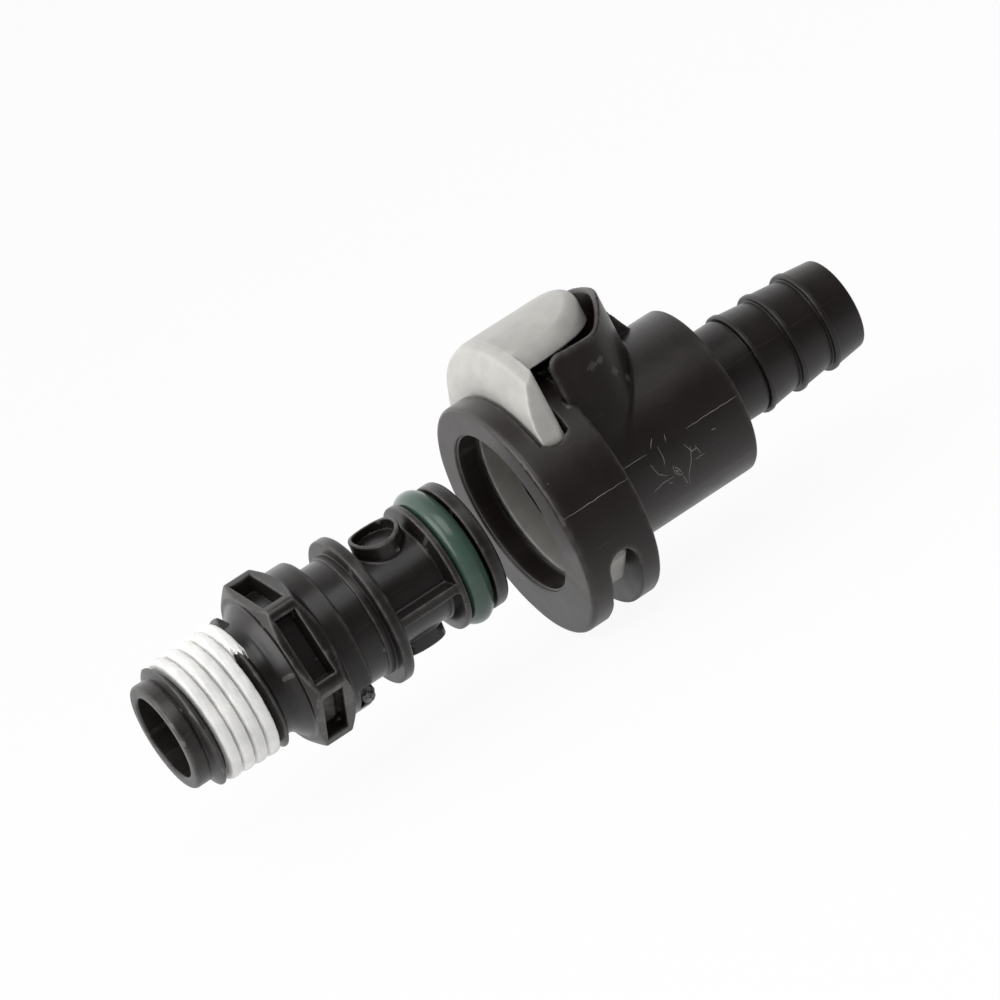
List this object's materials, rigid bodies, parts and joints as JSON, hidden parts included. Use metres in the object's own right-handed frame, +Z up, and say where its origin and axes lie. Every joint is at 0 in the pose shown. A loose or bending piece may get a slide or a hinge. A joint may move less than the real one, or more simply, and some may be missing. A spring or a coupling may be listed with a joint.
{
  "type": "plastic quick disconnect coupling",
  "caption": "Thumb-latch quick disconnect coupling: a plastic body with valve on a hose barb, and a pipe-thread insert with hexagon, latch groove and O-ring nose.",
  "frame": {"origin": "centre of the barrel's end face, where a hose pushed over the barb stops", "axes": "+X along the common axis of both halves, out of the hose barb; +Z up through the thumb button"},
  "size_m": [0.0807, 0.0254, 0.0299],
  "materials": {
    "black_plastic": "satin black acetal",
    "grey_plastic": "satin light grey acetal",
    "green_rubber": "glossy dark green rubber",
    "seal_rubber": "black rubber",
    "sealant": "dull off-white dried sealant",
    "spring_steel": "drawn stainless spring wire"
  },
  "bodies": {
    "coupling": {"coupling_body": "black_plastic", "hose_barb": "black_plastic", "latch_spring": "spring_steel", "body_spring_guide": "black_plastic", "body_valve_spring": "spring_steel"},
    "latch": {"thumb_latch": "grey_plastic"},
    "body_valve": {"body_poppet": "grey_plastic", "body_poppet_seal": "seal_rubber"},
    "insert": {"thread_adapter": "black_plastic", "thread_sealant": "sealant", "insert_nose": "black_plastic", "insert_oring": "green_rubber", "insert_spring_guide": "black_plastic", "insert_valve_spring": "spring_steel"},
    "insert_valve": {"insert_poppet": "grey_plastic", "insert_poppet_seal": "seal_rubber"}
  },
  "joints": [
    {"name": "insert_slide", "type": "slide", "parent": "coupling", "child": "insert", "axis": [1, 0, 0], "range_m": [0, 0.02385]},
    {"name": "latch_slide", "type": "slide", "parent": "coupling", "child": "latch", "axis": [0, 0, 1], "range_m": [0, 0.0018], "deforming": ["latch_spring"]},
    {"name": "body_valve_slide", "type": "slide", "parent": "coupling", "child": "body_valve", "axis": [1, 0, 0], "range_m": [0, 0.0015], "deforming": ["body_valve_spring"]},
    {"name": "insert_valve_slide", "type": "slide", "parent": "insert", "child": "insert_valve", "axis": [-1, 0, 0], "range_m": [0, 0.0015], "deforming": ["insert_valve_spring"]}
  ],
  "couplings": [
    {"joint": "body_valve_slide", "follows": "insert_slide", "ratio": 0.06289},
    {"joint": "insert_valve_slide", "follows": "insert_slide", "ratio": 0.06289}
  ]
}
